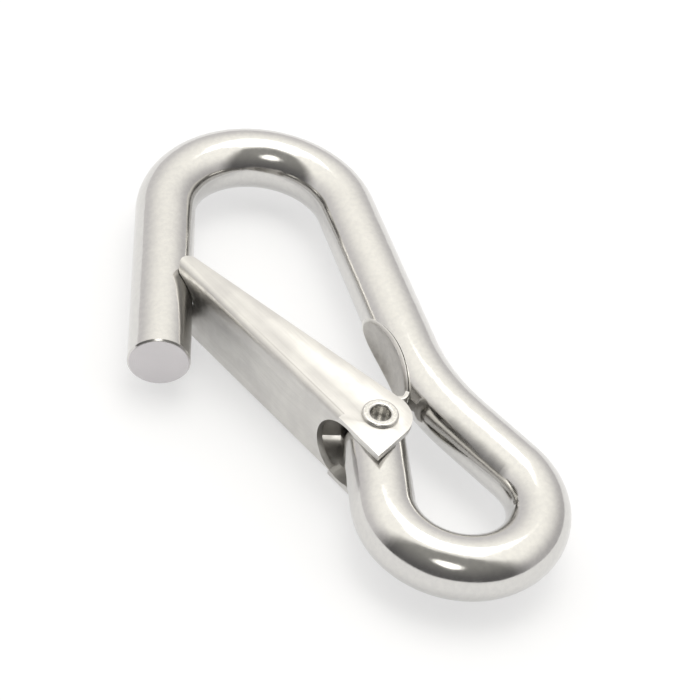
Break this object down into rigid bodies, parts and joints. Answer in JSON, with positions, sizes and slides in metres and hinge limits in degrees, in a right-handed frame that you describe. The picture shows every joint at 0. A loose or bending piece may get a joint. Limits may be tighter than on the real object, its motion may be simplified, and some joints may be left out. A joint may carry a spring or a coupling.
{
  "type": "snap hook",
  "caption": "Boat snap hook: a bent round stainless bar with a round eye, an open hooked bowl and a folded sheet gate that a leaf spring holds shut.",
  "frame": {"origin": "centre of the eye, in the plane of the bar's centreline", "axes": "+Y from the eye to the bowl of the hook, +Z square to the flat of the hook, +X towards the shank"},
  "size_m": [0.0437, 0.084, 0.0114],
  "materials": {
    "polished_bar": "polished stainless steel with faint lengthwise polishing marks",
    "satin_sheet": "satin rolled stainless sheet with sheared edges",
    "rivet_steel": "smooth rolled stainless tube",
    "spring_steel": "bright rolled spring strip"
  },
  "bodies": {
    "hook": {"hook_body": "polished_bar", "leaf_spring": "spring_steel"},
    "keeper": {"gate": "satin_sheet", "pivot_rivet": "rivet_steel"}
  },
  "joints": [
    {"name": "gate_pivot", "type": "hinge", "parent": "hook", "child": "keeper", "pos_m": [-0.00495, 0.01295, 0], "axis": [0, 0, -1], "range_deg": [0, 28], "stiffness_Nm_per_rad": 0.16, "springref_deg": -17.76, "deforming": ["leaf_spring"]}
  ]
}
